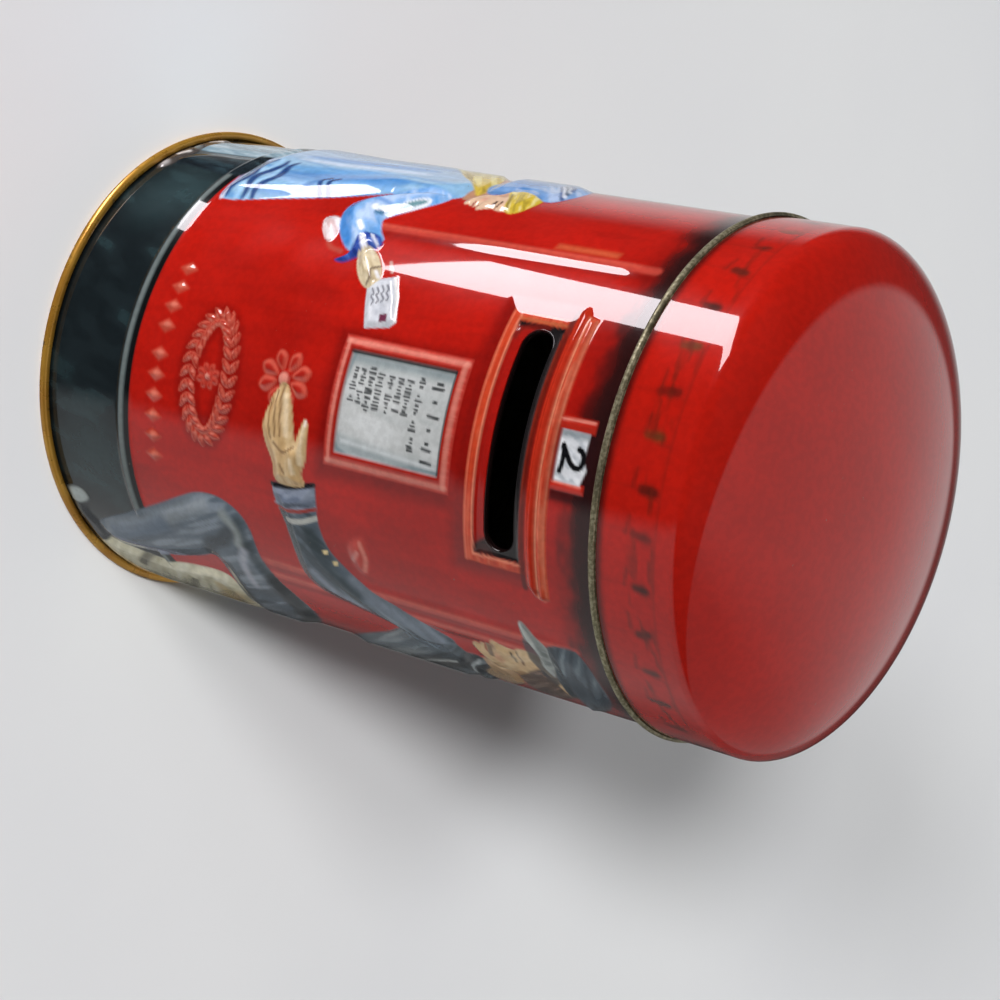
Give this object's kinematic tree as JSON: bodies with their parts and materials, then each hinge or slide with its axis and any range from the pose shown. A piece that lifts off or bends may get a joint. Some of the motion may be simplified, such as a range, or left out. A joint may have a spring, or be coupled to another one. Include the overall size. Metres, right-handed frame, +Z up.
{
  "type": "tin money box",
  "caption": "Round printed tinplate money box shaped as a pillar letter box, with a coin slot in the embossed wall, a seamed base and a domed slip-on lid.",
  "frame": {"origin": "middle of the circle that the base rim rests on", "axes": "+Z up the tin's axis towards the lid; the coin slot faces -Y; +X to the right seen from the front"},
  "size_m": [0.0832, 0.0832, 0.14],
  "materials": {
    "red_print": "glossy lithographed tinplate under clear varnish",
    "gold_lacquer": "gold-lacquered tinplate, semi-gloss",
    "bare_tin": "bare tinplate, dulled"
  },
  "bodies": {
    "tin": {"body_wall": "red_print", "base_end": "gold_lacquer"},
    "lid": {"lid": "red_print"}
  },
  "joints": [
    {"name": "lid_lift", "type": "slide", "parent": "tin", "child": "lid", "axis": [0, 0, 1], "range_m": [0, 0.045]}
  ]
}
